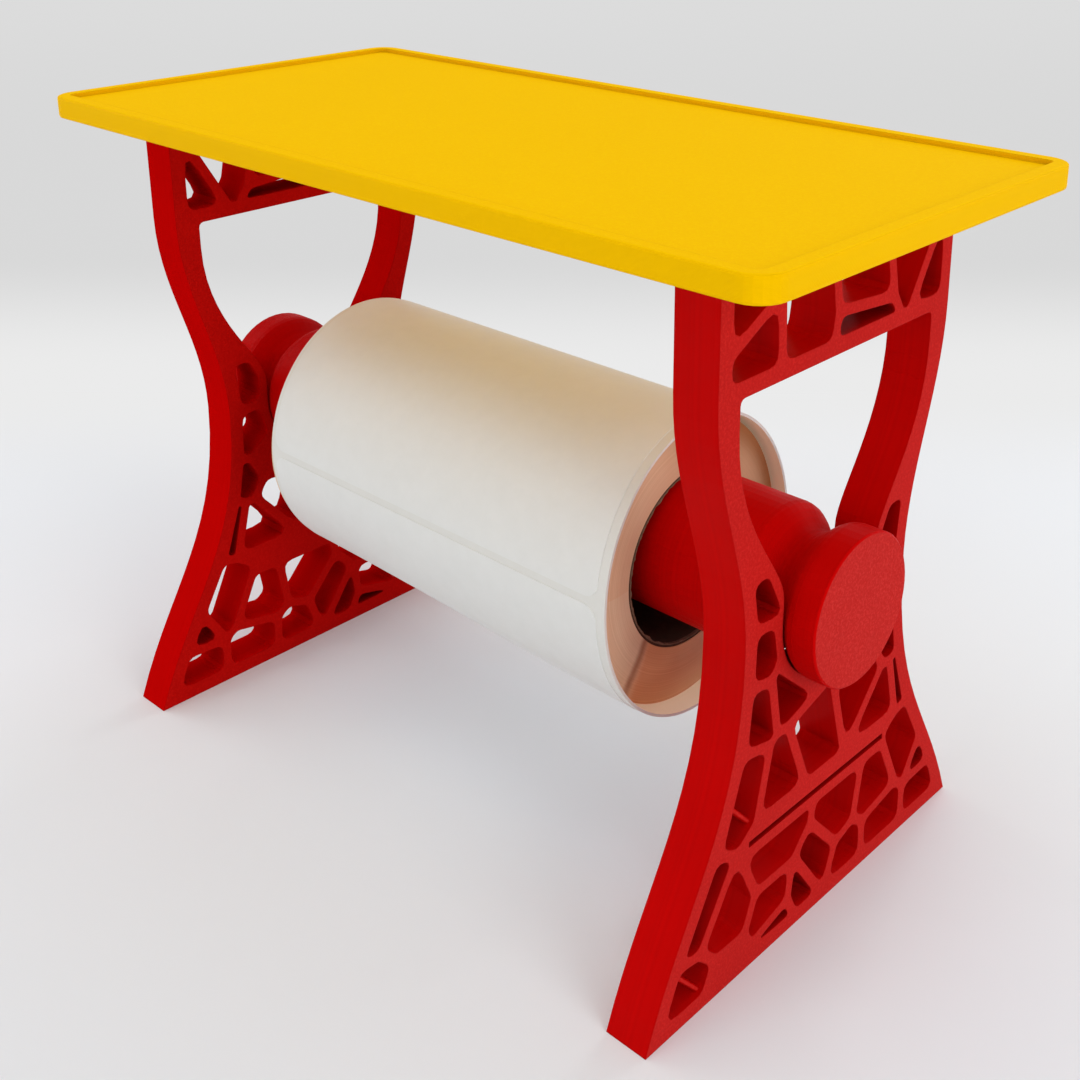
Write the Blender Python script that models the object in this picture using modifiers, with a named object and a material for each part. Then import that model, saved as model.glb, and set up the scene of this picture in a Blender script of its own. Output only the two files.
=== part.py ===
"""Printer and label roll stand: a rimmed tray on two lattice side frames, which
carry a grooved spool with a roll of labels between them.

The origin is the middle of the footprint, on the floor. X runs along the tray,
Z is up. Units are metres.
"""

import math

import bmesh
import bpy
from mathutils import Euler, Matrix, Vector

MM = 0.001

# Fits
CLEARANCE = 0.3 * MM
OVERRUN = 2.0 * MM

# Tray
TRAY_LENGTH = 203.0 * MM
TRAY_DEPTH = 99.0 * MM
TRAY_THICKNESS = 4.9 * MM
TRAY_CORNER_RADIUS = 5.5 * MM
TRAY_ARRIS = 0.5 * MM
RIM_WIDTH = 3.2 * MM
RECESS_DEPTH = 1.0 * MM
RECESS_CORNER_RADIUS = 1.5 * MM

# Side frames
TRAY_OVERHANG = 17.9 * MM
FRAME_THICKNESS = 9.5 * MM
FRAME_HEIGHT = 145.1 * MM
FOOT_DEPTH = 104.4 * MM
WAIST_RAIL = 11.2 * MM
WAIST_HEIGHT = 71.0 * MM
HEAD_DEPTH = 72.6 * MM
HEAD_STRAIGHT = 23.3 * MM
FOOT_FLARE_SHARE = 0.387
FOOT_HANDLE_SHARE = 0.375
WAIST_HANDLE_SHARE = 0.488
HEAD_HANDLE_SHARE = 0.37
TENON_WIDTH = 48.0 * MM
TENON_HEIGHT = 2.2 * MM

# Opening in each frame, with the saddle that the spool sits in
HEAD_RAIL = 6.0 * MM
HEAD_BAR = 24.0 * MM
SHOULDER_DROP = 6.1 * MM
OPENING_CORNER_RADIUS = 1.2 * MM
SADDLE_SLACK = 0.4 * MM
SADDLE_HEIGHT = 71.6 * MM
THROAT_RISE = 5.9 * MM
THROAT_HANDLE_SHARE = 0.19
SHOULDER_HANDLE_SHARE = 0.53

# Lattice of the frames
EDGE_BORDER = 3.5 * MM
BASE_BORDER = 3.5 * MM
OPENING_BORDER = 2.1 * MM
WEB = 2.3 * MM
WINDOW_CORNER_RADIUS = 2.4 * MM
SMALLEST_WINDOW = 1.2 * MM

# Level bar through the lattice, with a groove in its outer face
BAR_HEIGHT = 25.8 * MM
BAR_WIDTH = 8.0 * MM
BAR_REACH = 25.5 * MM
GROOVE_RISE = 3.1 * MM
GROOVE_WIDTH = 1.3 * MM
GROOVE_DEPTH = 2.0 * MM
GROOVE_LENGTH = 46.0 * MM

# Short webs that lie deep inside two of the windows
DEEP_WEB_THICKNESS = 1.2 * MM
DEEP_WEB_LENGTH = 13.0 * MM
DEEP_WEB_DEPTH = 4.0 * MM

# Spool
SPOOL_RADIUS = 15.6 * MM
FLANGE_RADIUS = 15.4 * MM
FLANGE_THICKNESS = 5.1 * MM
NECK_RADIUS = 11.4 * MM
NECK_WIDTH = 13.4 * MM
SPOOL_ARRIS = 0.35 * MM

# Label roll
CORE_BORE = 38.1 * MM
CORE_WALL = 1.7 * MM
ROLL_RADIUS = 30.8 * MM
LINER_WIDTH = 105.0 * MM
LABEL_WIDTH = 101.6 * MM
LABEL_THICKNESS = 0.15 * MM
LABEL_LENGTH = 152.4 * MM
LABEL_GAP = 1.6 * MM
LOOSE_WRAPS = 0.8 * MM
TELESCOPE = 3.4 * MM
ROLL_SHIFT = 1.0 * MM
FIRST_GAP_ANGLE = math.radians(175.5)

# Flat outlines are drawn larger than life, because curve caps are filled to a fixed tolerance
DRAWING_SCALE = 1000.0

# Facets
CURVE_STEPS = 14
ARC_STEPS = 12
CORNER_STEPS = 3
SPOOL_STEPS = 48
NECK_STEPS = 12
ROLL_STEPS = 72

# Window seeds of the lattice: a share of the way out from the opening, or from the middle where
# there is none, to the frame's edge, and a share of the saddle's height or of the head bar.
# Each window is the ground nearest to its seed, less half a web on every side.
WINDOW_SEED_SHARES = (
    (-0.794, 0.081), (-0.669, 0.221), (-0.882, 0.286), (-0.283, 0.128),
    (-0.248, 0.061), (-0.097, 0.113), (-0.013, 0.154), (-0.339, 0.326),
    (0.192, 0.268), (0.253, 0.089), (0.446, 0.097), (0.454, 0.241),
    (0.894, 0.103), (0.981, 0.237), (0.816, 0.328), (-0.874, 0.594),
    (-0.332, 0.543), (-0.164, 0.576), (0.517, 0.657), (0.694, 0.578),
    (0.912, 0.600), (-0.846, 0.798), (-0.054, 0.833), (-0.610, 0.957),
    (-0.426, 1.119), (0.689, 1.094), (0.565, 0.896), (0.825, 0.732),
)
SOLID_SEED_SHARES = (
    (-0.023, 1.269), (0.010, 1.275), (0.512, 0.790), (-0.585, 0.020),
)
HEAD_SEED_SHARES = (
    (-0.851, 0.661), (-0.710, 0.268), (-0.339, 0.299), (0.214, 0.438),
    (0.198, 0.172), (0.615, 0.571), (0.876, 0.335),
)
# Middle of each deep web, in the same shares, and its turn from level
DEEP_WEB_SHARES = (
    (-0.843, 0.118, math.radians(24.0)),
    (-0.787, 0.503, math.radians(-8.0)),
)


def neck_radius(distance, rim_radius):
    """The spool's radius at a distance from the middle of a neck: a smooth round groove."""
    rise = (1 - math.cos(math.pi * min(distance / (NECK_WIDTH / 2), 1))) / 2
    return NECK_RADIUS + (rim_radius - NECK_RADIUS) * rise


# Worked out from the sizes above
FRAME_MIDDLE = TRAY_LENGTH / 2 - TRAY_OVERHANG - FRAME_THICKNESS / 2
TRAY_BOTTOM = FRAME_HEIGHT + CLEARANCE
WELD = 0.01 * CLEARANCE
SEAT_RADIUS = neck_radius(FRAME_THICKNESS / 2, SPOOL_RADIUS)
SADDLE_RADIUS = SEAT_RADIUS + SADDLE_SLACK
WAIST_DEPTH = 2 * (SADDLE_RADIUS + WAIST_RAIL)
HEAD_HEIGHT = FRAME_HEIGHT - HEAD_STRAIGHT
OPENING_WIDTH = HEAD_DEPTH - 2 * HEAD_RAIL
OPENING_TOP = FRAME_HEIGHT - HEAD_BAR
OPENING_SHOULDER = OPENING_TOP - SHOULDER_DROP
THROAT_HEIGHT = SADDLE_HEIGHT + THROAT_RISE
HEAD_LATTICE_BOTTOM = OPENING_TOP + OPENING_BORDER + WEB / 2
BAR_TOP = BAR_HEIGHT + BAR_WIDTH
SPOOL_HEIGHT = SADDLE_HEIGHT - SADDLE_RADIUS + CLEARANCE + SEAT_RADIUS
ROLL_HEIGHT = SPOOL_HEIGHT + SPOOL_RADIUS + CLEARANCE - CORE_BORE / 2


# Scene and materials


def clear_scene():
    for item in list(bpy.data.objects):
        bpy.data.objects.remove(item, do_unlink=True)


def new_collection(name):
    collection = bpy.data.collections.new(name)
    bpy.context.scene.collection.children.link(collection)
    return collection


def material(name, colour, roughness):
    made = bpy.data.materials.new(name)
    made.use_nodes = True
    shader = made.node_tree.nodes["Principled BSDF"]
    shader.inputs["Base Color"].default_value = (*colour, 1.0)
    shader.inputs["Roughness"].default_value = roughness
    shader.inputs["Metallic"].default_value = 0.0
    made.diffuse_color = (*colour, 1.0)
    return made


def level_face(face):
    """True if a face lies level, also where it has no area."""
    heights = [vert.co.z for vert in face.verts]
    return max(heights) - min(heights) < WELD


def evaluated_mesh(item):
    """A closed mesh of a curve object at life size: its caps are welded on, with no slivers."""
    graph = bpy.context.evaluated_depsgraph_get()
    mesh = bpy.data.meshes.new_from_object(item.evaluated_get(graph))
    work = bmesh.new()
    work.from_mesh(mesh)
    bmesh.ops.scale(work, vec=[1 / DRAWING_SCALE] * 3, verts=work.verts)
    bmesh.ops.remove_doubles(work, verts=work.verts, dist=WELD)
    caps = {face for face in work.faces if level_face(face)}
    seams = [edge for edge in work.edges if caps.issuperset(edge.link_faces)]
    bmesh.ops.beautify_fill(work, faces=list(caps), edges=seams, method="ANGLE")
    bmesh.ops.recalc_face_normals(work, faces=work.faces)
    work.to_mesh(mesh)
    work.free()
    return mesh


def flat_plate(name, outlines, thickness, collection, arris=0.0):
    """A plate from flat closed outlines: the first is its edge, the others are holes."""
    data = bpy.data.curves.new(name + "_outline", "CURVE")
    data.dimensions = "2D"
    data.fill_mode = "BOTH"
    data.extrude = (thickness / 2 - arris) * DRAWING_SCALE
    data.bevel_depth = arris * DRAWING_SCALE
    data.bevel_resolution = 1
    data.offset = -arris * DRAWING_SCALE
    for outline in outlines:
        spline = data.splines.new("POLY")
        spline.points.add(len(outline) - 1)
        for point, (across, up) in zip(spline.points, outline):
            point.co = (across * DRAWING_SCALE, up * DRAWING_SCALE, 0.0, 1.0)
        spline.use_cyclic_u = True
    guide = bpy.data.objects.new(name + "_outline", data)
    collection.objects.link(guide)
    bpy.context.view_layer.update()
    plate = bpy.data.objects.new(name, evaluated_mesh(guide))
    collection.objects.link(plate)
    bpy.data.objects.remove(guide, do_unlink=True)
    bpy.data.curves.remove(data)
    return plate


def turned(name, profile, steps, closed, collection):
    """A turned solid about X: the profile gives radius and place along X, from +X to -X."""
    mesh = bpy.data.meshes.new(name)
    work = bmesh.new()
    corners = [work.verts.new((radius, 0.0, along)) for radius, along in profile]
    for first, second in zip(corners, corners[1:]):
        work.edges.new((first, second))
    if closed:
        work.edges.new((corners[-1], corners[0]))
    work.to_mesh(mesh)
    work.free()
    item = bpy.data.objects.new(name, mesh)
    collection.objects.link(item)
    item.rotation_euler = Euler((0.0, math.radians(90.0), 0.0))
    screw = item.modifiers.new("turn", "SCREW")
    screw.axis = "Z"
    screw.angle = math.radians(360.0)
    screw.steps = steps
    screw.render_steps = steps
    screw.use_merge_vertices = True
    screw.merge_threshold = WELD
    screw.use_smooth_shade = True
    return item


def box_cutter(name, size, centre, collection, turn=(0.0, 0.0, 0.0)):
    mesh = bpy.data.meshes.new(name)
    work = bmesh.new()
    bmesh.ops.create_cube(work, size=1.0)
    bmesh.ops.scale(work, vec=size, verts=work.verts)
    work.to_mesh(mesh)
    work.free()
    cutter = bpy.data.objects.new(name, mesh)
    cutter.location = centre
    cutter.rotation_euler = Euler(turn)
    hide_cutter(cutter, collection)
    return cutter


def hide_cutter(cutter, collection):
    if not cutter.users_collection:
        collection.objects.link(cutter)
    cutter.hide_render = True
    cutter.display_type = "WIRE"


def boolean(target, cutter, operation):
    step = target.modifiers.new(cutter.name, "BOOLEAN")
    step.object = cutter
    step.operation = operation
    step.solver = "EXACT"


def shade(item, paint, angle):
    item.data.materials.clear()
    item.data.materials.append(paint)
    item.data.shade_smooth()
    item.data.set_sharp_from_angle(angle=math.radians(angle))


# Outlines


def arc(centre, radius, start, end, steps):
    """Points of an arc in the plane, both ends included, with angles in degrees."""
    turns = [math.radians(start + (end - start) * step / steps) for step in range(steps + 1)]
    return [(centre[0] + radius * math.cos(turn), centre[1] + radius * math.sin(turn)) for turn in turns]


def bezier(start, start_handle, end_handle, end, steps):
    """Points of a cubic curve, both ends included."""
    points = []
    for step in range(steps + 1):
        run = step / steps
        weights = ((1 - run) ** 3, 3 * run * (1 - run) ** 2, 3 * run**2 * (1 - run), run**3)
        corners = (start, start_handle, end_handle, end)
        points.append(tuple(sum(w * c[axis] for w, c in zip(weights, corners)) for axis in (0, 1)))
    return points


def rounded_rectangle(length, depth, radius):
    points = []
    for index, (side, end) in enumerate(((1, 1), (-1, 1), (-1, -1), (1, -1))):
        centre = (side * (length / 2 - radius), end * (depth / 2 - radius))
        points += arc(centre, radius, 90 * index, 90 * index + 90, ARC_STEPS // 2)
    return points


def mirrored_outline(right_side):
    """Closes an outline from its right-hand side, listed upwards."""
    return right_side + [(-across, up) for across, up in reversed(right_side)]


def frame_edge():
    """The right-hand edge of a side frame, from its foot to its head."""
    foot, waist, head = FOOT_DEPTH / 2, WAIST_DEPTH / 2, HEAD_DEPTH / 2
    lower = bezier(
        (foot, 0.0),
        (foot + FOOT_FLARE_SHARE * (waist - foot), FOOT_HANDLE_SHARE * WAIST_HEIGHT),
        (waist, (1 - WAIST_HANDLE_SHARE) * WAIST_HEIGHT),
        (waist, WAIST_HEIGHT),
        CURVE_STEPS,
    )
    handle = HEAD_HANDLE_SHARE * (HEAD_HEIGHT - WAIST_HEIGHT)
    upper = bezier(
        (waist, WAIST_HEIGHT),
        (waist, WAIST_HEIGHT + handle),
        (head, HEAD_HEIGHT - handle),
        (head, HEAD_HEIGHT),
        CURVE_STEPS,
    )
    return lower + upper[1:] + [(head, FRAME_HEIGHT)]


def frame_outline():
    tenon = [(TENON_WIDTH / 2, FRAME_HEIGHT), (TENON_WIDTH / 2, FRAME_HEIGHT + TENON_HEIGHT)]
    return mirrored_outline(frame_edge() + tenon)


def opening_edge():
    """The right-hand edge of the opening: saddle, throat, side and top corner."""
    half = OPENING_WIDTH / 2
    rise = OPENING_SHOULDER - THROAT_HEIGHT
    saddle = arc((0.0, SADDLE_HEIGHT), SADDLE_RADIUS, -90, 0, ARC_STEPS)
    side = bezier(
        (SADDLE_RADIUS, THROAT_HEIGHT),
        (SADDLE_RADIUS, THROAT_HEIGHT + THROAT_HANDLE_SHARE * rise),
        (half, OPENING_SHOULDER - SHOULDER_HANDLE_SHARE * rise),
        (half, OPENING_SHOULDER),
        CURVE_STEPS,
    )
    corner_centre = (half - OPENING_CORNER_RADIUS, OPENING_TOP - OPENING_CORNER_RADIUS)
    corner = arc(corner_centre, OPENING_CORNER_RADIUS, 0, 90, CORNER_STEPS)
    return saddle + side + corner


def opening_outline():
    edge = opening_edge()
    return edge + [(-across, up) for across, up in reversed(edge[1:])]


# Lattice


def clip(polygon, normal, reach):
    """The part of a convex polygon whose reach along the normal is no more than given."""
    kept = []
    for here, there in zip(polygon, polygon[1:] + polygon[:1]):
        inside = normal.dot(here) - reach
        beyond = normal.dot(there) - reach
        if inside <= 0:
            kept.append(here)
        if inside * beyond < 0:
            kept.append(here.lerp(there, inside / (inside - beyond)))
    return kept


def dense(points):
    """The points of an edge with the quarter points of each step added."""
    result = []
    for here, there in zip(points, points[1:]):
        result += [Vector(here).lerp(Vector(there), quarter / 4) for quarter in range(4)]
    return result + [Vector(points[-1])]


def flipped(points):
    """The same points on the other side, in the opposite order."""
    return [Vector((-point.x, point.y)) for point in reversed(points)]


def fences(edge, border):
    """Lines that keep a border from an edge, one for each short step with the lattice on its left."""
    lines = []
    for here, there in zip(edge, edge[1:]):
        along = (there - here).normalized()
        normal = Vector((along.y, -along.x))
        lines.append((here.lerp(there, 0.5), normal, normal.dot(here) - border))
    return lines


def within(point, polygon):
    """True if a point lies inside a convex polygon, listed anticlockwise."""
    for here, there in zip(polygon, polygon[1:] + polygon[:1]):
        if (there - here).cross(point - here) <= 0:
            return False
    return len(polygon) > 2


def fenced(seed, polygon, lines):
    """A polygon cut by the fence nearest to its seed, and then by each one that is left inside it."""
    while lines:
        middle, normal, reach = min(lines, key=lambda line: (line[0] - seed).length)
        polygon = clip(polygon, normal, reach)
        lines = [line for line in lines if within(line[0], polygon)]
    return polygon


def half_width(edge, height):
    """How far an edge, listed upwards, is from the middle at a height, or zero past its ends."""
    for (across, up), (next_across, next_up) in zip(edge, edge[1:]):
        if up <= height <= next_up and up < next_up:
            return across + (next_across - across) * (height - up) / (next_up - up)
    return 0.0


def seed_points(shares, bottom, height):
    """Seeds from the share of the way out between the opening and the edge, and of a height."""
    points = []
    for across, up in shares:
        level = bottom + up * height
        inner, outer = half_width(opening_edge(), level), half_width(frame_edge(), level)
        distance = inner + abs(across) * (outer - inner)
        points.append(Vector((math.copysign(distance, across), level)))
    return points


def window(seed, others, planes, edges):
    """One window: a wide square cut by webs to its neighbours, by planes and by the edges' fences."""
    far = FRAME_HEIGHT + FOOT_DEPTH
    polygon = [Vector(corner) for corner in ((-far, -far), (far, -far), (far, far), (-far, far))]
    for other in others:
        apart = other - seed
        normal = apart.normalized()
        planes = planes + [(normal, normal.dot(seed + apart / 2) - WEB / 2)]
    for normal, reach in planes:
        polygon = clip(polygon, normal, reach)
    for lines in edges:
        polygon = fenced(seed, polygon, lines)
    return polygon


def rounded(polygon, radius):
    """A convex polygon with its corners rounded, less where an edge is short."""
    points = []
    for before, corner, after in zip(polygon[-1:] + polygon[:-1], polygon, polygon[1:] + polygon[:1]):
        back, forward = before - corner, after - corner
        half_angle = back.angle(forward) / 2
        setback = min(radius / math.tan(half_angle), 0.45 * back.length, 0.45 * forward.length)
        start = corner + back.normalized() * setback
        end = corner + forward.normalized() * setback
        for step in range(CORNER_STEPS + 1):
            run = step / CORNER_STEPS
            points.append(tuple(start * (1 - run) ** 2 + corner * 2 * run * (1 - run) + end * run**2))
    return points


def merged(polygon, least):
    """A polygon without the corners that lie closer to the one before than given."""
    kept = []
    for corner in polygon:
        if not kept or (corner - kept[-1]).length > least:
            kept.append(corner)
    if len(kept) > 1 and (kept[0] - kept[-1]).length <= least:
        kept.pop()
    return kept


def wide_enough(polygon):
    """True if the polygon leaves room for the smallest window."""
    if len(polygon) < 3:
        return False
    area = sum(a.x * b.y - b.x * a.y for a, b in zip(polygon, polygon[1:] + polygon[:1])) / 2
    around = sum((a - b).length for a, b in zip(polygon, polygon[1:] + polygon[:1]))
    return 2 * area / around > SMALLEST_WINDOW / 2


def lattice_windows():
    right = dense(frame_edge())
    sides = [fences(right, EDGE_BORDER), fences(flipped(right), EDGE_BORDER)]
    inner = dense(opening_edge())
    middle = fences(inner[::-1], OPENING_BORDER) + fences(flipped(inner)[::-1], OPENING_BORDER)
    lower = seed_points(WINDOW_SEED_SHARES, 0.0, SADDLE_HEIGHT)
    solid = seed_points(SOLID_SEED_SHARES, 0.0, SADDLE_HEIGHT)
    head = seed_points(HEAD_SEED_SHARES, OPENING_TOP, HEAD_BAR)
    up, down = Vector((0.0, 1.0)), Vector((0.0, -1.0))
    polygons = []
    for seed in lower:
        planes = [(down, -BASE_BORDER)]
        if abs(seed.x) < BAR_REACH:
            above = seed.y > (BAR_HEIGHT + BAR_TOP) / 2
            planes.append((down, -BAR_TOP) if above else (up, BAR_HEIGHT))
        others = [other for other in lower + solid if other is not seed]
        polygons.append(window(seed, others, planes, sides + [middle]))
    for seed in head:
        planes = [(down, -HEAD_LATTICE_BOTTOM), (up, FRAME_HEIGHT - EDGE_BORDER)]
        others = [other for other in head if other is not seed]
        polygons.append(window(seed, others, planes, sides))
    polygons = [merged(polygon, WEB / 4) for polygon in polygons]
    return [rounded(polygon, WINDOW_CORNER_RADIUS) for polygon in polygons if wide_enough(polygon)]


# Pieces


def make_tray(parts, cutters, paint):
    tray = flat_plate(
        "tray",
        [rounded_rectangle(TRAY_LENGTH, TRAY_DEPTH, TRAY_CORNER_RADIUS)],
        TRAY_THICKNESS,
        parts,
        TRAY_ARRIS,
    )
    tray.location.z = TRAY_BOTTOM + TRAY_THICKNESS / 2
    recess = flat_plate(
        "tray_recess_cutter",
        [
            rounded_rectangle(
                TRAY_LENGTH - 2 * RIM_WIDTH, TRAY_DEPTH - 2 * RIM_WIDTH, RECESS_CORNER_RADIUS
            )
        ],
        RECESS_DEPTH + OVERRUN,
        cutters,
    )
    recess.location.z = TRAY_BOTTOM + TRAY_THICKNESS + (OVERRUN - RECESS_DEPTH) / 2
    hide_cutter(recess, cutters)
    boolean(tray, recess, "DIFFERENCE")
    pocket_size = (
        FRAME_THICKNESS + 2 * CLEARANCE,
        TENON_WIDTH + 2 * CLEARANCE,
        TENON_HEIGHT + OVERRUN,
    )
    pocket_height = FRAME_HEIGHT + TENON_HEIGHT + CLEARANCE - pocket_size[2] / 2
    for side, word in ((-1, "left"), (1, "right")):
        place = (side * FRAME_MIDDLE, 0.0, pocket_height)
        boolean(tray, box_cutter(f"tray_pocket_{word}_cutter", pocket_size, place, cutters), "DIFFERENCE")
    shade(tray, paint, 40)


def make_side_frame(name, side, parts, cutters, paint):
    frame = flat_plate(
        name,
        [frame_outline(), opening_outline()] + lattice_windows(),
        FRAME_THICKNESS,
        parts,
    )
    frame.location.x = side * FRAME_MIDDLE
    frame.rotation_euler = Euler((math.radians(90.0), 0.0, side * math.radians(90.0)))
    outer_face = side * (FRAME_MIDDLE + FRAME_THICKNESS / 2)
    groove = box_cutter(
        name + "_groove_cutter",
        (2 * GROOVE_DEPTH, GROOVE_LENGTH, GROOVE_WIDTH),
        (outer_face, 0.0, BAR_HEIGHT + GROOVE_RISE),
        cutters,
    )
    boolean(frame, groove, "DIFFERENCE")
    spots = seed_points([spot[:2] for spot in DEEP_WEB_SHARES], 0.0, SADDLE_HEIGHT)
    inner_place = side * (FRAME_MIDDLE - FRAME_THICKNESS / 2 + DEEP_WEB_DEPTH / 2 + CLEARANCE)
    for index, (spot, (_, _, turn)) in enumerate(zip(spots, DEEP_WEB_SHARES)):
        middle = (inner_place, side * spot.x, spot.y)
        size = (DEEP_WEB_DEPTH, DEEP_WEB_LENGTH, DEEP_WEB_THICKNESS)
        web = box_cutter(f"{name}_deep_web_{index}", size, middle, cutters, (side * turn, 0.0, 0.0))
        boolean(frame, web, "UNION")
    shade(frame, paint, 30)


def neck_profile(middle, first_rim, last_rim):
    """Radius and place down one neck, from its +X rim to its -X rim."""
    points = []
    for step in range(NECK_STEPS + 1):
        offset = NECK_WIDTH * (0.5 - step / NECK_STEPS)
        rim = first_rim if offset > 0 else last_rim
        points.append((neck_radius(abs(offset), rim), middle + offset))
    return points


def make_spool(parts, paint):
    end = FRAME_MIDDLE + NECK_WIDTH / 2 + FLANGE_THICKNESS
    half = [
        (0.0, end),
        (FLANGE_RADIUS - SPOOL_ARRIS, end),
        (FLANGE_RADIUS, end - SPOOL_ARRIS),
    ]
    half += neck_profile(FRAME_MIDDLE, FLANGE_RADIUS, SPOOL_RADIUS)
    profile = half + [(radius, -along) for radius, along in reversed(half)]
    spool = turned("roll_spool", profile, SPOOL_STEPS, False, parts)
    spool.location.z = SPOOL_HEIGHT
    shade(spool, paint, 40)


def make_core(parts, paint):
    bore = CORE_BORE / 2
    outer = bore + CORE_WALL
    middle = -TELESCOPE
    front, back = middle + LINER_WIDTH / 2, middle - LINER_WIDTH / 2
    profile = [(outer, front), (outer, back), (bore, back), (bore, front)]
    core = turned("roll_core", profile, ROLL_STEPS, True, parts)
    core.location = (ROLL_SHIFT, 0.0, ROLL_HEIGHT)
    shade(core, paint, 40)


def make_winding(parts, cutters, paint):
    bore = CORE_BORE / 2 + CORE_WALL + CLEARANCE
    liner = ROLL_RADIUS - LABEL_THICKNESS
    packed = ROLL_RADIUS - LOOSE_WRAPS
    width, label = LINER_WIDTH / 2, LABEL_WIDTH / 2
    profile = [
        (liner, width), (liner, label), (ROLL_RADIUS, label), (ROLL_RADIUS, -label),
        (liner, -label), (liner, -width), (packed, -width), (packed, -width - TELESCOPE),
        (bore, -width - TELESCOPE), (bore, width - TELESCOPE), (packed, width - TELESCOPE),
        (packed, width),
    ]
    winding = turned("label_winding", profile, ROLL_STEPS, True, parts)
    winding.location = (ROLL_SHIFT, 0.0, ROLL_HEIGHT)
    pitch = (LABEL_LENGTH + LABEL_GAP) / ROLL_RADIUS
    for index in range(2):
        angle = FIRST_GAP_ANGLE - index * pitch
        across, up = ROLL_RADIUS * math.cos(angle), ROLL_RADIUS * math.sin(angle)
        centre = (ROLL_SHIFT, across, ROLL_HEIGHT + up)
        size = (LABEL_WIDTH + OVERRUN, LABEL_GAP, 2 * LABEL_THICKNESS)
        turn = (angle - math.radians(90.0), 0.0, 0.0)
        gap = box_cutter(f"label_gap_{index}_cutter", size, centre, cutters, turn)
        boolean(winding, gap, "DIFFERENCE")
    shade(winding, paint, 40)


def build():
    clear_scene()
    parts = new_collection("printer_and_label_roll_stand")
    cutters = new_collection("cutters")
    make_tray(parts, cutters, material("yellow_print", (0.86, 0.52, 0.0), 0.42))
    for word, side in (("left", -1), ("right", 1)):
        paint = material(f"red_print_{word}", (0.48, 0.002, 0.004), 0.45)
        make_side_frame(f"side_frame_{word}", side, parts, cutters, paint)
    make_spool(parts, material("red_print_spool", (0.48, 0.002, 0.004), 0.4))
    make_core(parts, material("brown_card", (0.20, 0.11, 0.06), 0.85))
    make_winding(parts, cutters, material("white_paper", (0.78, 0.78, 0.75), 0.6))


build()
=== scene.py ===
import math

import bmesh
import bpy
from mathutils import Matrix, Vector, noise


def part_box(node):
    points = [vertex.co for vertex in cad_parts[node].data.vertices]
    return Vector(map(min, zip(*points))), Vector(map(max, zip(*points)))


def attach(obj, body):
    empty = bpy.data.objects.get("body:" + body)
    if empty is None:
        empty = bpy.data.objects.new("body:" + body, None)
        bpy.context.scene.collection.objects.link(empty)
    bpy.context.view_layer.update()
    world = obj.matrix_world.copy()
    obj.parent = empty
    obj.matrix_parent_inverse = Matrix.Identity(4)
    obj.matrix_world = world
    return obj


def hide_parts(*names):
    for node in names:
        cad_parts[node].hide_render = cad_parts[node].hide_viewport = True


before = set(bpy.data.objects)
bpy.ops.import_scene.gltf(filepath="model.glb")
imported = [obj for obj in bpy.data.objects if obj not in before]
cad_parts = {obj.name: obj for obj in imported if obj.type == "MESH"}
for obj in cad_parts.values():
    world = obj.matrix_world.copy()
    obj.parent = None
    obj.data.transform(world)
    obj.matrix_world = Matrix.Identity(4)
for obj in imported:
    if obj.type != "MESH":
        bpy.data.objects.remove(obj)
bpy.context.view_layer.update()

MM = 0.001

# Camera
CAMERA_PLACE = (216.47 * MM, -209.75 * MM, 213.60 * MM)
CAMERA_AZIMUTH = 0.7367120
CAMERA_ELEVATION = 0.3197507
CAMERA_ROLL = -0.0026943
CAMERA_LENS = 48.84
CAMERA_SENSOR = 36.0
CAMERA_SHIFT = (-0.0611, -0.2315)
CAMERA_NEAREST = 0.01

# Paints: linear red, green and blue, in darker and lighter pairs for paper and card
YELLOW_WALL = (1.0, 0.56, 0.0)
YELLOW_FLAT = (0.91, 0.515, 0.0)
RED_WALL = (0.57, 0.001, 0.001)
# Flat faces are painted pinker than the walls, a painted sheen: strongest on the spool and the
# right frame, faint on the left frame
RED_FLAT_LEFT_FAINT_SHEEN = (0.52, 0.004, 0.003)
RED_FLAT_RIGHT_SHEEN = (0.59, 0.012, 0.010)
RED_FLAT_SPOOL_SHEEN = (0.57, 0.018, 0.015)
LINER_FRONT = ((0.735, 0.725, 0.68), (0.785, 0.775, 0.735))
LINER_BACK = ((0.88, 0.72, 0.53), (0.93, 0.80, 0.61))
LABEL_FACE = ((0.76, 0.76, 0.73), (0.82, 0.82, 0.795))
TORN_CARD = ((0.05, 0.025, 0.015), (0.33, 0.19, 0.12))
# Painted shade: the card darkened over the core's bore and the inner part of its ends
CARD_INSIDE_SHADE = ((0.035, 0.016, 0.009), (0.10, 0.05, 0.028))
CARD_OUTSIDE = ((0.22, 0.10, 0.05), (0.42, 0.22, 0.12))
EDGES_PALE = ((0.74, 0.54, 0.37), (0.81, 0.61, 0.42))
EDGES_BROWN = ((0.66, 0.29, 0.14), (0.73, 0.35, 0.18))
# Painted shade on the pack's face near its outside, where the sleeve stands off
EDGES_SHADED = (0.34, 0.13, 0.045)
# Painted shade along the pressed crease in the pack's face
EDGES_CREASE_SHADE = (0.27, 0.075, 0.03)
# Colour of a painted glow on the inside of the loose wraps
PAINTED_GLOW_COLOUR = (1.0, 0.84, 0.60)

# Surfaces
LAYER_HEIGHT = 0.2 * MM
BAND_HEIGHT = 0.8 * MM
PRINT_GRAIN = 0.55 * MM
PRINT_PATCH = 24.0 * MM
PRINT_RELIEF = 0.12 * MM
PRINT_EDGE = 0.35 * MM
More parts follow.
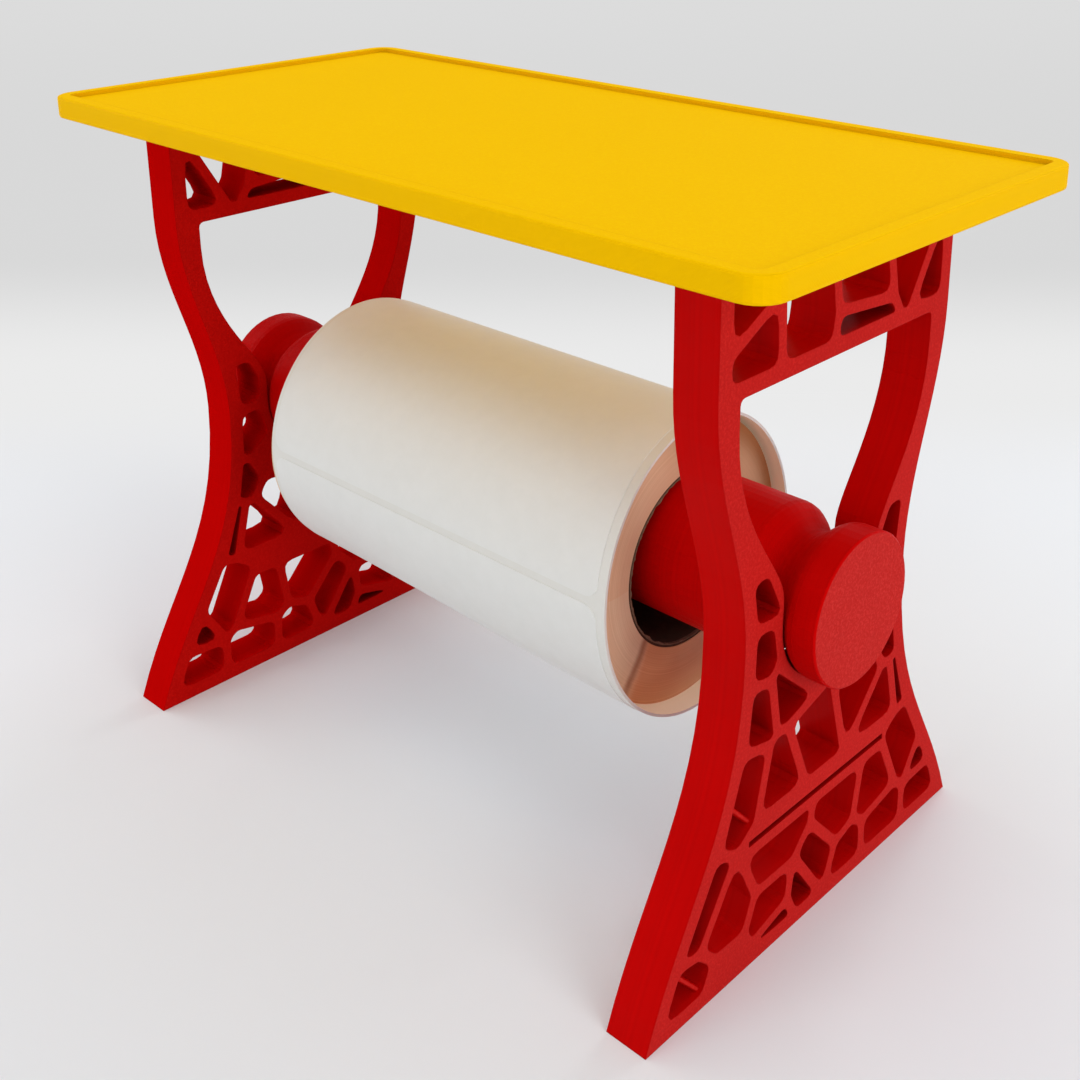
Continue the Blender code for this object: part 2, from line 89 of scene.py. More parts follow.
# Painted shade that darkens printed parts in their hollows
PAINTED_SHADE_REACH = 8.0 * MM
PAINTED_SHADE_TONE = 0.5
FIBRE_RELIEF = 0.06 * MM
LINER_FIBRE = 2.5 * MM
LABEL_FIBRE = 4.0 * MM
CARD_FIBRE = 1.5 * MM
CARD_UNEVEN = 0.8 * MM
CARD_OUTSIDE_EDGES = (-0.5 * MM, 0.3 * MM)
TORN_FIBRE = 0.6 * MM
RING_PITCH = 0.35 * MM
RING_RELIEF = 0.05 * MM
STAIN_SIZE = 9.0 * MM
CREASE_SHADE_WIDTH = 1.9 * MM
SHADE_INSET = 2.0 * MM
# Strength of that painted glow
SLEEVE_PAINTED_GLOW = 0.135

# Label roll, seen along its axis: angles run from +Y towards +Z
ROLL_STEPS = 180
SHARP_ANGLE = math.radians(38.0)
OVERLAP = 0.02 * MM
CREASE_ANGLE = math.radians(223.3)
CREASE_SWAY = math.radians(0.64) / MM

# Its sleeve of loose outer wraps
SLEEVE_STATIONS = 14
SLEEVE_THICKNESS = 0.6 * MM
SLEEVE_DROP = 1.75 * MM
SLEEVE_SLACK = 0.39 * MM
SLEEVE_CLEARANCE = 0.05 * MM
SLEEVE_GAP = 1.3 * MM
SLEEVE_GAP_ANGLE = math.radians(30.0)
RIM_MIDDLE = 53.0 * MM
RIM_TILT = 1.9 * MM
RIM_TILT_ANGLE = math.radians(228.0)
RIM_WAVE = 0.12 * MM
LINER_WIDTH = 105.0 * MM

# Its tight pack
PACK_RINGS = 26
PACK_CLEARANCE = 0.3 * MM
PACK_LIP = 1.0 * MM
LIP_SLOPE = 0.05 * MM
FACE_RISE = 0.25 * MM
FACE_RECESS = 1.1 * MM
FACE_TILT = 0.5 * MM
FACE_BULGE = 0.35 * MM
FACE_STEP = 0.07 * MM
FACE_WAVE = 0.06 * MM
FOLD_DEPTH = 0.15 * MM
FOLD_ANGLE = math.radians(4.0)
BACK_INSET = 0.2 * MM
BACK_HOLLOW = 2.6 * MM
BACK_STEP = 0.12 * MM

# Its labels
LABEL_STATIONS = 12
LABEL_STEP = math.radians(2.0)
LABEL_CORNER_STEPS = 7
LABEL_MARGIN = 2.1 * MM
LABEL_WIDTH = 101.6 * MM
LABEL_LENGTH = 152.4 * MM
LABEL_GAP = 1.6 * MM
LABEL_CORNER = 3.2 * MM
LABEL_LIFT = 0.14 * MM
FIRST_GAP_ANGLE = math.radians(175.5)

# The torn end of its core
TEAR_STEPS = 360
CORE_WALL = 1.7 * MM
TEAR_ROOT = 0.2 * MM
TEAR_THICKNESS = 0.1 * MM
TEAR_REACH = 0.5 * MM
TEAR_LIFT = 0.2 * MM
TEAR_DEPTH = 0.6 * MM

# Ribs deep in the right frame's windows: ends as (Y, Z) in the frame's plane
RIB_ENDS = (
    ((-43.4 * MM, 12.1 * MM), (-34.7 * MM, 2.1 * MM)),
    ((-28.8 * MM, 40.2 * MM), (-20.5 * MM, 31.4 * MM)),
)
RIB_THICKNESS = 1.1 * MM
RIB_OUTSIDE = 82.7 * MM
RIB_INSIDE = 81.6 * MM
RIB_BEVEL = 0.5 * MM
RIB_BEVEL_SHARE = 0.55

# Floor, and the backdrop that it passes into at some distance from the camera
FLOOR_REACH = 3.0
FLOOR_DROP = 0.05 * MM
FLOOR_COLOUR = (0.785, 0.805, 0.83)
FLOOR_GRAIN_SCALE = 1 / (30 * MM)
BACKDROP_DISTANCES = (0.42, 0.52)
HAZE_DISTANCES = (0.54, 0.70)
HAZE_STRENGTHS = (0.83, 0.69)
FAR_HAZE_DISTANCES = (0.9, 1.7)
FAR_HAZE_STRENGTH = 0.025

# Light
SKY_COLOUR = (0.99, 0.99, 1.0)
SKY_LEVEL_STRENGTH = 0.43
SKY_TOP_STRENGTH = 1.2
SKY_SEEN_COLOUR = (0.69, 0.69, 0.70)
LIGHT_AIM = (0.0, 0.0, 0.06)
LIGHTS = (
    ("front", (-0.2, -1.4, 0.6), (1.0, 0.8), 4.0),
    ("right", (1.4, -0.2, 0.6), (0.9, 0.7), 7.8),
    ("left", (-1.4, -0.3, 0.7), (0.9, 0.7), 5.0),
    ("back", (0.0, 1.4, 0.8), (1.0, 0.8), 7.0),
)


def place_object(name, data):
    placed = bpy.data.objects.new(name, data)
    bpy.context.scene.collection.objects.link(placed)
    return placed


# Camera


def camera_axes():
    """Right, up and back of the camera, from its azimuth, elevation and roll."""
    level = math.cos(CAMERA_ELEVATION)
    back = Vector((
        math.sin(CAMERA_AZIMUTH) * level,
        -math.cos(CAMERA_AZIMUTH) * level,
        math.sin(CAMERA_ELEVATION),
    ))
    right = (-back).cross(Vector((0.0, 0.0, 1.0))).normalized()
    down = (-back).cross(right)
    turned_right = math.cos(CAMERA_ROLL) * right + math.sin(CAMERA_ROLL) * down
    turned_down = math.cos(CAMERA_ROLL) * down - math.sin(CAMERA_ROLL) * right
    return turned_right, -turned_down, back


def make_camera():
    data = bpy.data.cameras.new("camera")
    data.lens = CAMERA_LENS
    data.sensor_width = CAMERA_SENSOR
    data.shift_x, data.shift_y = CAMERA_SHIFT
    data.clip_start = CAMERA_NEAREST
    camera = place_object("camera", data)
    turn = Matrix(camera_axes()).transposed().to_4x4()
    camera.matrix_world = Matrix.Translation(CAMERA_PLACE) @ turn
    bpy.context.scene.camera = camera


# Node helpers


class Nodes:
    """Short names for adding and joining the nodes of one tree."""

    def __init__(self, tree):
        self.tree = tree
        tree.nodes.clear()

    def add(self, kind, inputs=None, **settings):
        node = self.tree.nodes.new(kind)
        for name, value in settings.items():
            setattr(node, name, value)
        for name, value in (inputs or {}).items():
            self.put(node.inputs[name], value)
        return node

    def put(self, socket, value):
        if isinstance(value, bpy.types.NodeSocket):
            self.tree.links.new(value, socket)
        elif isinstance(value, bpy.types.Node):
            self.tree.links.new(value.outputs[0], socket)
        else:
            socket.default_value = value

    def maths(self, operation, *values):
        node = self.add("ShaderNodeMath", operation=operation)
        for socket, value in zip(node.inputs, values):
            self.put(socket, value)
        return node.outputs[0]

    def ramp(self, value, low, high, start=0.0, end=1.0):
        """A value mapped smoothly from low..high to start..end."""
        node = self.add(
            "ShaderNodeMapRange",
            {"Value": value, "From Min": low, "From Max": high, "To Min": start, "To Max": end},
            interpolation_type="SMOOTHSTEP",
        )
        return node.outputs["Result"]

    def mix(self, share, first, second):
        """A blend of two colours."""
        node = self.add("ShaderNodeMix", data_type="RGBA")
        self.put(node.inputs["Factor"], share)
        self.put(node.inputs[6], first)
        self.put(node.inputs[7], second)
        return node.outputs[2]

    def noise(self, vector, size, detail, roughness=0.5):
        """Noise through space, with features of a given size."""
        inputs = {"Vector": vector, "Scale": 1 / size, "Detail": detail, "Roughness": roughness}
        return self.add("ShaderNodeTexNoise", inputs).outputs["Fac"]

    def noise_along(self, length, size, detail, roughness=0.5):
        """Noise that only varies along one length, with features of a given size."""
        scaled = self.maths("MULTIPLY", length, 1 / size)
        inputs = {"W": scaled, "Scale": 1.0, "Detail": detail, "Roughness": roughness}
        return self.add("ShaderNodeTexNoise", inputs, noise_dimensions="1D").outputs["Fac"]

    def bump(self, height, strength, distance, **others):
        inputs = {"Height": height, "Strength": strength, "Distance": distance, **others}
        return self.add("ShaderNodeBump", inputs)

    def surface(self, paint, roughness, specular, others=None):
        """A surface shader; others are inputs by their own names."""
        inputs = {"Base Color": paint, "Roughness": roughness, "Specular IOR Level": specular}
        return self.add("ShaderNodeBsdfPrincipled", {**inputs, **(others or {})})

    def looked_at(self):
        """1 for what is seen directly, through something or in a reflection, and 0 for light."""
        path = self.add("ShaderNodeLightPath").outputs
        direct = self.maths("MAXIMUM", path["Is Camera Ray"], path["Is Transmission Ray"])
        return self.maths("MAXIMUM", direct, path["Is Glossy Ray"])

    def blend(self, share, first, second):
        """A blend of two shaders."""
        node = self.add("ShaderNodeMixShader")
        for socket, value in zip(node.inputs, (share, first, second)):
            self.put(socket, value)
        return node


def opaque(paint):
    return (*paint, 1.0)


def new_material(name):
    made = bpy.data.materials.new(name)
    made.use_nodes = True
    nodes = Nodes(made.node_tree)
    return made, nodes, nodes.add("ShaderNodeTexCoord").outputs


def finish_material(nodes, shader):
    nodes.add("ShaderNodeOutputMaterial", {"Surface": shader})


# Materials


def print_material(name, wall, flat, axis, speckle_and_sheen, gloss, roughness=(0.42, 0.55)):
    """Printed plastic with its layers stacked along an axis: ribbed walls, grained flat faces with
    pinker specks as a painted sheen, and painted shade in its hollows.
    """
    made, nodes, place = new_material(name)
    point = nodes.add("ShaderNodeSeparateXYZ", {"Vector": place["Object"]}).outputs[axis]
    facing = nodes.add("ShaderNodeSeparateXYZ", {"Vector": place["Normal"]}).outputs[axis]
    flatness = nodes.ramp(nodes.maths("ABSOLUTE", facing), 0.75, 0.98)

    # Relief
    phase = nodes.maths("MULTIPLY", point, 2 * math.pi / LAYER_HEIGHT)
    ridge = nodes.maths("MULTIPLY", nodes.maths("SINE", phase), 0.3)
    wall_height = nodes.maths("MULTIPLY", ridge, nodes.maths("SUBTRACT", 1.0, flatness))
    grain = nodes.noise(place["Object"], PRINT_GRAIN, 3.0, 0.7)
    flat_height = nodes.maths("MULTIPLY", grain, flatness)
    height = nodes.maths("ADD", wall_height, flat_height)
    soft = nodes.add("ShaderNodeBevel", {"Radius": PRINT_EDGE}, samples=4)
    bump = nodes.bump(height, 0.6, PRINT_RELIEF, Normal=soft)

    # Tone: bands and patches, and painted shade that darkens the print in its hollows and deep
    # windows
    tone_range = (1 - 0.04 * speckle_and_sheen, 1 + 0.03 * speckle_and_sheen)
    band = nodes.ramp(nodes.noise_along(point, BAND_HEIGHT, 3.0), 0.3, 0.7, *tone_range)
    patch = nodes.ramp(nodes.noise(place["Object"], PRINT_PATCH, 2.0), 0.3, 0.7, *tone_range)
    occlusion_shade = nodes.add(
        "ShaderNodeAmbientOcclusion", {"Distance": PAINTED_SHADE_REACH}, samples=8, only_local=True
    )
    painted_shade = nodes.ramp(occlusion_shade.outputs["AO"], 0.15, 0.75, PAINTED_SHADE_TONE, 1.0)
    tone = nodes.maths("MULTIPLY", nodes.maths("MULTIPLY", patch, band), painted_shade)

    # Paint: one on the walls, specks of a darker and a lighter one on the flat faces; the lighter
    # specks are pinker, a painted sheen
    dark = [part * (1 - 0.12 * speckle_and_sheen) for part in flat]
    sheen_pink = 1 + 0.6 * speckle_and_sheen
    light = (flat[0] * (1 + 0.06 * speckle_and_sheen), flat[1] * sheen_pink, flat[2] * sheen_pink)
    grain_and_sheen_specks = nodes.mix(nodes.ramp(grain, 0.42, 0.68), opaque(dark), opaque(light))
    paint = nodes.mix(flatness, opaque(wall), grain_and_sheen_specks)
    tinted = nodes.add("ShaderNodeHueSaturation", {"Color": paint, "Value": tone})
    tint = opaque(min(1.0, 0.2 + part) for part in wall)
    rough = nodes.ramp(flatness, 0.0, 1.0, *roughness)
    shader = nodes.surface(tinted, rough, gloss, {"Normal": bump, "Specular Tint": tint})
    finish_material(nodes, shader)
    return made


def fibres(nodes, place, size):
    """Fibres through card or paper, and their soft relief."""
    tone = nodes.noise(place["Object"], size, 5.0, 0.65)
    return tone, nodes.bump(tone, 0.3, FIBRE_RELIEF)


def fibre_material(name, paints, size, roughness, painted_glow=0.0):
    """Card or paper; the painted glow is an emission that stands in for the light that thin paper
    lets through.
    """
    made, nodes, place = new_material(name)
    tone, bump = fibres(nodes, place, size)
    paint = nodes.mix(tone, *map(opaque, paints))
    lit = {"Emission Color": opaque(PAINTED_GLOW_COLOUR), "Emission Strength": painted_glow}
    finish_material(nodes, nodes.surface(paint, roughness, 0.3, {"Normal": bump, **lit}))
    return made


def roll_place(nodes, place):
    """The distance from the roll's axis, and the angle round it."""
    parts = nodes.add("ShaderNodeSeparateXYZ", {"Vector": place["Object"]}).outputs
    height = nodes.maths("SUBTRACT", parts["Z"], AXIS_HEIGHT)
    across = nodes.maths("POWER", parts["Y"], 2.0)
    radius = nodes.maths("SQRT", nodes.maths("ADD", across, nodes.maths("POWER", height, 2.0)))
    return radius, nodes.maths("ARCTAN2", height, parts["Y"])


def card_material():
    """The core's raw card, painted dark as shade over its bore and the inner part of its ends, and
    paler towards the outside of its ends, where it meets the pack.
    """
    made, nodes, place = new_material("card")
    radius, _ = roll_place(nodes, place)
    tone, bump = fibres(nodes, place, CARD_FIBRE)
    inner, outer = (nodes.mix(tone, *map(opaque, pair)) for pair in (CARD_INSIDE_SHADE, CARD_OUTSIDE))
    uneven = nodes.maths("ADD", radius, nodes.maths("MULTIPLY", tone, CARD_UNEVEN))
    outside = nodes.ramp(uneven, *(CORE_RADIUS + edge for edge in CARD_OUTSIDE_EDGES))
    paint = nodes.mix(outside, inner, outer)
    finish_material(nodes, nodes.surface(paint, 0.85, 0.2, {"Normal": bump}))
    return made


def wound_material():
    """The edges of many wound layers: fine rings about the roll's axis, painted shade along one
    pressed crease, and painted shade near the outside on the side where the sleeve stands off.
    """
    made, nodes, place = new_material("wound_edges")
    radius, angle = roll_place(nodes, place)
    rings = nodes.noise_along(radius, RING_PITCH, 4.0, 0.7)
    stain = nodes.noise(place["Object"], STAIN_SIZE, 2.0)

    # How far round a point lies from the crease
    sway = nodes.maths("MULTIPLY", nodes.maths("SUBTRACT", radius, CORE_RADIUS), CREASE_SWAY)
    middle = nodes.maths("ADD", sway, CREASE_ANGLE - 2 * math.pi)
    turned = nodes.maths("SUBTRACT", angle, middle)
    fold = nodes.maths("MULTIPLY", nodes.maths("ABSOLUTE", turned), radius)
    # Painted shade along the crease
    crease_shade = nodes.ramp(fold, 0.0, CREASE_SHADE_WIDTH, 0.75, 0.0)
    crease_shade = nodes.maths("MULTIPLY", crease_shade, nodes.ramp(stain, 0.2, 0.5, 0.5, 0.9))

    # Browner past the crease, and painted shade towards the outside on the side where the sleeve
    # stands off
    browner = nodes.ramp(turned, -0.05, 0.12)
    browner = nodes.maths("MULTIPLY", browner, nodes.ramp(turned, 0.25, 1.3, 1.0, 0.25))
    across = nodes.maths("COSINE", nodes.maths("SUBTRACT", angle, SLEEVE_GAP_ANGLE))
    outward = nodes.ramp(radius, CORE_RADIUS, ROLL_RADIUS - SHADE_INSET, 0.35, 0.95)
    shaded = nodes.maths("MULTIPLY", nodes.ramp(across, 0.0, 0.9), outward)

    fine = nodes.ramp(rings, 0.3, 0.7)
    pale, brown = (nodes.mix(fine, *map(opaque, pair)) for pair in (EDGES_PALE, EDGES_BROWN))
    warm = nodes.mix(nodes.maths("MULTIPLY", stain, 0.35), pale, brown)
    paint = nodes.mix(shaded, nodes.mix(browner, warm, brown), opaque(EDGES_SHADED))
    with_crease_shade = nodes.mix(crease_shade, paint, opaque(EDGES_CREASE_SHADE))
    bump = nodes.bump(rings, 0.3, RING_RELIEF)
    finish_material(nodes, nodes.surface(with_crease_shade, 0.9, 0.05, {"Normal": bump}))
    return made


def floor_material():
    """A pale floor that passes into a plain backdrop, brighter at its foot."""
    made, nodes, place = new_material("floor")

    # Distance along the floor, in the direction that the camera faces
    view = (-math.sin(CAMERA_AZIMUTH), math.cos(CAMERA_AZIMUTH), 0.0)
    offset = nodes.add("ShaderNodeVectorMath", operation="SUBTRACT")
    nodes.put(offset.inputs[0], place["Object"])
    nodes.put(offset.inputs[1], CAMERA_PLACE)
    along = nodes.add("ShaderNodeVectorMath", operation="DOT_PRODUCT")
    nodes.put(along.inputs[0], offset)
    nodes.put(along.inputs[1], view)
    distance = along.outputs["Value"]

    grain = nodes.add("ShaderNodeTexNoise", {"Scale": FLOOR_GRAIN_SCALE, "Detail": 2.0})
    uneven = nodes.ramp(grain.outputs["Fac"], 0.3, 0.7, 0.992, 1.008)
    paint = nodes.add("ShaderNodeHueSaturation", {"Color": opaque(FLOOR_COLOUR), "Value": uneven})
    shader = nodes.surface(paint, 0.6, 0.2)
    near_haze = nodes.ramp(distance, *HAZE_DISTANCES, *HAZE_STRENGTHS)
    far_haze = nodes.ramp(distance, *FAR_HAZE_DISTANCES, 0.0, FAR_HAZE_STRENGTH)
    haze = nodes.maths("ADD", near_haze, far_haze)
    backdrop = nodes.add("ShaderNodeEmission", {"Strength": haze})
    far = nodes.maths("MULTIPLY", nodes.ramp(distance, *BACKDROP_DISTANCES), nodes.looked_at())
    finish_material(nodes, nodes.blend(far, shader, backdrop))
    return made


def dress(node, material):
    """Gives a CAD node its material in every slot."""
    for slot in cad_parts[node].material_slots:
        slot.material = material


# Pieces


def new_piece(name, work, paints, smooth=False):
    """An object of the worked mesh, with its paints in their slots."""
    bmesh.ops.recalc_face_normals(work, faces=work.faces)
    mesh = bpy.data.meshes.new(name)
    work.to_mesh(mesh)
    work.free()
    if smooth:
        mesh.shade_smooth()
        mesh.set_sharp_from_angle(angle=SHARP_ANGLE)
    for paint in paints:
        mesh.materials.append(paint)
    return place_object(name, mesh)


# Label roll


CORE_LOW, CORE_HIGH = map(Vector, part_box("roll_core"))
ROLL_LOW, ROLL_HIGH = map(Vector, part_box("label_winding"))
AXIS_HEIGHT = (CORE_LOW.z + CORE_HIGH.z) / 2
CORE_RADIUS = (CORE_HIGH.z - CORE_LOW.z) / 2
ROLL_RADIUS = (ROLL_HIGH.z - ROLL_LOW.z) / 2

# Along the axis, the sleeve lies tight on the pack up to here
SLEEVE_TIGHT_END = ROLL_LOW.x + (ROLL_HIGH.x - CORE_HIGH.x)


def smooth(value, low, high):
    """0 below low, 1 above high, and smooth between."""
    run = min(max((value - low) / (high - low), 0.0), 1.0)
    return run * run * (3 - 2 * run)


def ripple(*place):
    """A repeatable value between -1 and 1 that varies smoothly with place."""
    return noise.noise(Vector(place))


def ring_ripple(angle, pace, layer):
    """A ripple that closes on itself round the roll."""
    return ripple(pace * math.cos(angle), pace * math.sin(angle), layer)


def rim_place(angle):
    """Where the near edge of the outer wraps lies along the axis."""
    wave = RIM_WAVE * ring_ripple(angle, 2.5, 3.0)
    return RIM_MIDDLE + RIM_TILT * math.cos(angle - RIM_TILT_ANGLE) + wave


def sleeve_radius(angle, along):
    """Outer radius of the loose outer wraps, which hang low towards the near end."""
    near = smooth(along, SLEEVE_TIGHT_END, RIM_MIDDLE)
    drop = SLEEVE_SLACK - SLEEVE_DROP * math.sin(angle)
    return ROLL_RADIUS - LABEL_LIFT + near * (drop + math.hypot(drop, SLEEVE_SLACK)) / 2


def pack_radius(angle, along):
    """Outer radius of the tight pack: the sleeve of loose wraps lies on it but at one side."""
    loose = max(0.0, math.cos(angle - SLEEVE_GAP_ANGLE)) ** 2
    near = smooth(along, SLEEVE_TIGHT_END, RIM_MIDDLE)
    inside = sleeve_radius(angle, along) - SLEEVE_THICKNESS
    return inside - SLEEVE_CLEARANCE - SLEEVE_GAP * near * loose


def face_place(angle, share, layer):
    """Where the near face of the pack lies, at a share of the way from the core to its outside."""
    outer = CORE_HIGH.x - FACE_RECESS + FACE_TILT * math.cos(angle - RIM_TILT_ANGLE)
    bulge = FACE_BULGE * math.sin(math.pi * min(share * 1.3, 1.0))
    step = FACE_STEP * ripple(layer * 7.3, 1.0, 0.0)
    wave = FACE_WAVE * ring_ripple(angle, 2.0, layer * 1.7)
    sway = CREASE_SWAY * share * (ROLL_RADIUS - CORE_RADIUS)
    turned = (angle - CREASE_ANGLE - sway + math.pi) % (2 * math.pi) - math.pi
    fold = FOLD_DEPTH * math.exp(-((turned / FOLD_ANGLE) ** 2)) * smooth(share, 0.1, 0.5)
    level = CORE_HIGH.x + FACE_RISE + (outer - CORE_HIGH.x) * share
    return level + bulge + (step + wave) - fold


def swept(name, angles, profile, closed, paints, split=0):
    """A closed mesh of profile loops of (radius, along) set round the roll's axis.

    With a split, the loop's sides from 1 up to the split have the first of two paints, and
    the other sides have the second.
    """
    work = bmesh.new()
    loops = []
    for angle in angles:
        loop = []
        for radius, along in profile(angle):
            place = (along, radius * math.cos(angle), AXIS_HEIGHT + radius * math.sin(angle))
            loop.append(work.verts.new(place))
        loops.append(loop)
    pairs = list(zip(loops, loops[1:]))
    if closed:
        pairs.append((loops[-1], loops[0]))
    else:
        work.faces.new(loops[0])
        work.faces.new(loops[-1][::-1])
    for here, there in pairs:
        for index in range(len(here)):
            corners = (here[index - 1], here[index], there[index], there[index - 1])
            side = work.faces.new(corners)
            side.material_index = int(split > 0 and not 0 < index <= split)
    piece = new_piece(name, work, paints, smooth=True)
    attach(piece, "label_roll")
    return piece


def turn_angles(steps):
    return [2 * math.pi * step / steps for step in range(steps)]


def make_pack(paint):
    inner = CORE_RADIUS + PACK_CLEARANCE
    lip = (CORE_RADIUS - PACK_LIP, CORE_HIGH.x + OVERLAP)

    def profile(angle):
        face, back = [], []
        outer = pack_radius(angle, RIM_MIDDLE)
        far_outer = pack_radius(angle, SLEEVE_TIGHT_END)
        for ring in range(PACK_RINGS + 1):
            share = ring / PACK_RINGS
            face.append((inner + (outer - inner) * share, face_place(angle, share, ring)))
            step = BACK_STEP * ripple(ring * 5.1, 2.0, 4.0)
            along = CORE_LOW.x + BACK_INSET + BACK_HOLLOW * share**1.5 + step
            back.append((inner + (far_outer - inner) * share, along))
        face.insert(0, (lip[0], face[0][1] - LIP_SLOPE))
        return face + back[::-1] + [(inner, lip[1]), lip]

    pack = swept("label_pack", turn_angles(ROLL_STEPS), profile, True, [paint])
    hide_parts("label_winding")


def make_wraps(front, back):
    def profile(angle):
        outside, inside = [], []
        far = rim_place(angle) - LINER_WIDTH
        for station in range(SLEEVE_STATIONS + 1):
            along = far + LINER_WIDTH * station / SLEEVE_STATIONS
            radius = sleeve_radius(angle, along)
            outside.append((radius, along))
            inside.append((radius - SLEEVE_THICKNESS, along))
        return outside + inside[::-1]

    angles = turn_angles(ROLL_STEPS)
    outside_and_rim = SLEEVE_STATIONS + 1
    wraps = swept("outer_wraps", angles, profile, True, [front, back], outside_and_rim)
    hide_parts("label_winding")


def label_angles(start, end):
    """The turns at which a label's outline is set, closer together at its rounded corners."""
    reach = LABEL_CORNER / ROLL_RADIUS
    quarter = math.pi / 2
    corner = [
        reach * (1 - math.cos(quarter * step / LABEL_CORNER_STEPS))
        for step in range(LABEL_CORNER_STEPS)
    ]
    straight = end - start - 2 * reach
    count = int(straight / LABEL_STEP)
    angles = [start + turn for turn in corner]
    angles += [start + reach + straight * step / count for step in range(count + 1)]
    return angles + [end - turn for turn in reversed(corner)]


def make_label(name, start, end, paint):
    """One label laid on the outer wraps, with rounded corners."""

    def profile(angle):
        edge = min(angle - start, end - angle) * ROLL_RADIUS
        cut = LABEL_CORNER - min(edge, LABEL_CORNER)
        inset = LABEL_CORNER - math.sqrt(max(LABEL_CORNER**2 - cut**2, 0.0))
        near = rim_place(angle) - LABEL_MARGIN - inset
        far = rim_place(angle) - LABEL_MARGIN - LABEL_WIDTH + inset
        outside, inside = [], []
        for station in range(LABEL_STATIONS + 1):
            along = far + (near - far) * station / LABEL_STATIONS
            radius = sleeve_radius(angle, along)
            outside.append((radius + LABEL_LIFT, along))
            inside.append((radius - OVERLAP, along))
        return outside + inside[::-1]

    label = swept(name, label_angles(start, end), profile, False, [paint])
    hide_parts("label_winding")


def make_labels(paint):
    pitch = (LABEL_LENGTH + LABEL_GAP) / ROLL_RADIUS
    half_gap = LABEL_GAP / ROLL_RADIUS / 2
    second_gap = FIRST_GAP_ANGLE - pitch
    make_label("label_upper", second_gap + half_gap, FIRST_GAP_ANGLE - half_gap, paint)
    lower_end = second_gap + 2 * math.pi - half_gap
    make_label("label_lower", FIRST_GAP_ANGLE + half_gap, lower_end, paint)


def make_frayed_core(paint):
    """The torn inner edge of the core's near end."""
    bore = CORE_RADIUS - CORE_WALL
    end = CORE_HIGH.x

    def profile(angle):
        tear = abs(ring_ripple(angle, 9.0, 1.0)) + 0.6 * abs(ring_ripple(angle, 23.0, 2.0))
        tip = bore - TEAR_REACH * tear
        lift = TEAR_LIFT * (1 + ring_ripple(angle, 14.0, 5.0))
        return [
            (bore + TEAR_ROOT, end - OVERLAP),
            (bore + TEAR_ROOT, end + TEAR_THICKNESS),
            (tip + TEAR_THICKNESS, end + lift),
            (tip, end - TEAR_THICKNESS),
            (bore - OVERLAP / 2, end - TEAR_DEPTH),
            (bore + TEAR_THICKNESS / 2, end - TEAR_DEPTH),
        ]

    edge = swept("frayed_core_edge", turn_angles(TEAR_STEPS), profile, True, [paint])


# Frames


def rib_mesh(side, first, last):
    """A flat web between two points of the frame's plane, narrower at its outer face."""
    across = (last - first).normalized().orthogonal() * RIB_THICKNESS / 2
    shoulder = RIB_OUTSIDE - RIB_BEVEL
    work = bmesh.new()
    loops = []
    for x, share in ((RIB_OUTSIDE, RIB_BEVEL_SHARE), (shoulder, 1.0), (RIB_INSIDE, 1.0)):
        half = across * share
        corners = (first - half, last - half, last + half, first + half)
        loops.append([work.verts.new((side * x, side * y, z)) for y, z in corners])
    for here, there in zip(loops, loops[1:]):
        for step in range(4):
            work.faces.new((here[step - 1], here[step], there[step], there[step - 1]))
    work.faces.new(loops[0])
    work.faces.new(loops[-1][::-1])
    return work


def make_ribs(paints):
    """Webs that cross two windows inside each frame; the left frame is the same print, turned."""
    for side, paint in zip((1, -1), paints):
        for index, (first, last) in enumerate(RIB_ENDS):
            name = f"inner_rib_{'right' if side > 0 else 'left'}_{index + 1}"
            work = rib_mesh(side, Vector(first), Vector(last))
            rib = new_piece(name, work, [paint])
            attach(rib, "stand")


# Stage


def make_floor():
    mesh = bpy.data.meshes.new("floor")
    corners = [(-1, -1), (1, -1), (1, 1), (-1, 1)]
    points = [(x * FLOOR_REACH, y * FLOOR_REACH, -FLOOR_DROP) for x, y in corners]
    mesh.from_pydata(points, [], [(0, 1, 2, 3)])
    floor = place_object("floor", mesh)
    mesh.materials.append(floor_material())


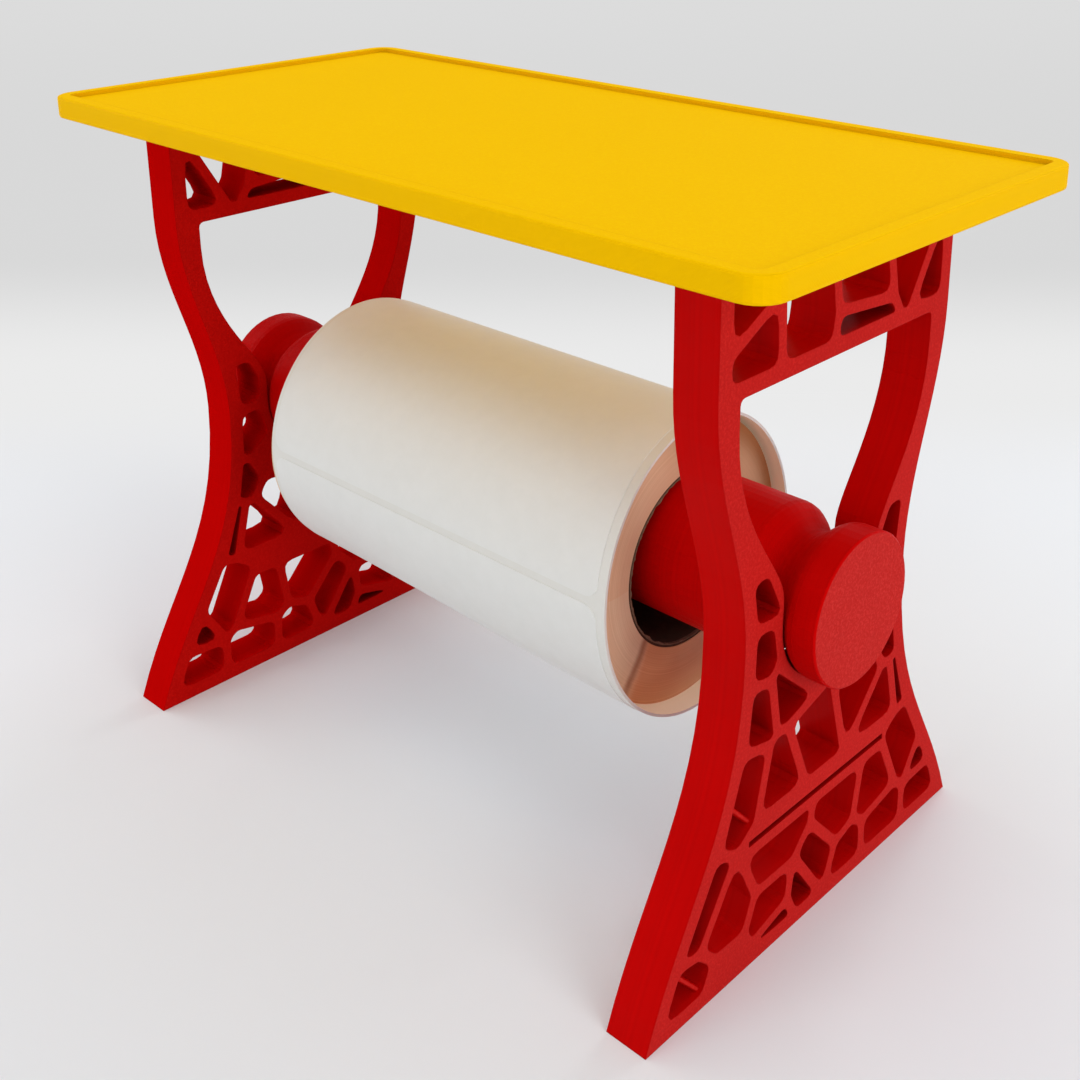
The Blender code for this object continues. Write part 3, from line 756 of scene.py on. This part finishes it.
def make_world():
    """Soft light from all round and above; the camera and reflections see a plain backdrop."""
    world = bpy.data.worlds.new("studio")
    bpy.context.scene.world = world
    world.use_nodes = True
    nodes = Nodes(world.node_tree)
    place = nodes.add("ShaderNodeTexCoord").outputs["Generated"]
    up = nodes.add("ShaderNodeSeparateXYZ", {"Vector": place}).outputs["Z"]
    level = nodes.ramp(nodes.maths("ABSOLUTE", up), 0.0, 0.6, SKY_LEVEL_STRENGTH, 0.0)
    overhead = nodes.ramp(up, 0.3, 1.0, 0.0, SKY_TOP_STRENGTH)
    strength = nodes.maths("ADD", level, overhead)
    light = nodes.add("ShaderNodeBackground", {"Color": opaque(SKY_COLOUR), "Strength": strength})
    back = nodes.add("ShaderNodeBackground", {"Color": opaque(SKY_SEEN_COLOUR), "Strength": 1.0})
    both = nodes.blend(nodes.looked_at(), light, back)
    nodes.add("ShaderNodeOutputWorld", {"Surface": both})


def make_lights():
    for name, place, size, power in LIGHTS:
        data = bpy.data.lights.new(name, "AREA")
        data.shape = "RECTANGLE"
        data.size, data.size_y = size
        data.energy = power
        lamp = place_object(name, data)
        lamp.location = place
        aim = Vector(place) - Vector(LIGHT_AIM)
        lamp.rotation_euler = aim.to_track_quat("Z", "Y").to_euler()


bpy.context.scene.view_settings.view_transform = "Standard"
make_camera()
make_floor()
make_world()
make_lights()
yellow = print_material("yellow_layers", YELLOW_WALL, YELLOW_FLAT, "Z", 0.1, 0.02, (0.6, 0.85))
# The right frame and the spool carry a painted sheen on their flat faces, the left frame only a
# faint one
left_red_faint_sheen = print_material("red_layers_left_faint_sheen", RED_WALL, RED_FLAT_LEFT_FAINT_SHEEN, "X", 0.7, 0.0)
right_red_sheen = print_material("red_layers_right_sheen", RED_WALL, RED_FLAT_RIGHT_SHEEN, "X", 1.0, 0.02)
spool_red_sheen = print_material("red_layers_spool_sheen", RED_WALL, RED_FLAT_SPOOL_SHEEN, "X", 1.0, 0.02)
dress("tray", yellow)
dress("side_frame_left", left_red_faint_sheen)
dress("side_frame_right", right_red_sheen)
dress("roll_spool", spool_red_sheen)
dress("roll_core", card_material())
make_ribs((right_red_sheen, left_red_faint_sheen))
make_pack(wound_material())
make_wraps(
    fibre_material("liner_front", LINER_FRONT, LINER_FIBRE, 0.45),
    fibre_material("liner_back_painted_glow", LINER_BACK, LINER_FIBRE, 0.5, SLEEVE_PAINTED_GLOW),
)
make_labels(fibre_material("label_face", LABEL_FACE, LABEL_FIBRE, 0.5))
make_frayed_core(fibre_material("torn_card", TORN_CARD, TORN_FIBRE, 0.9))
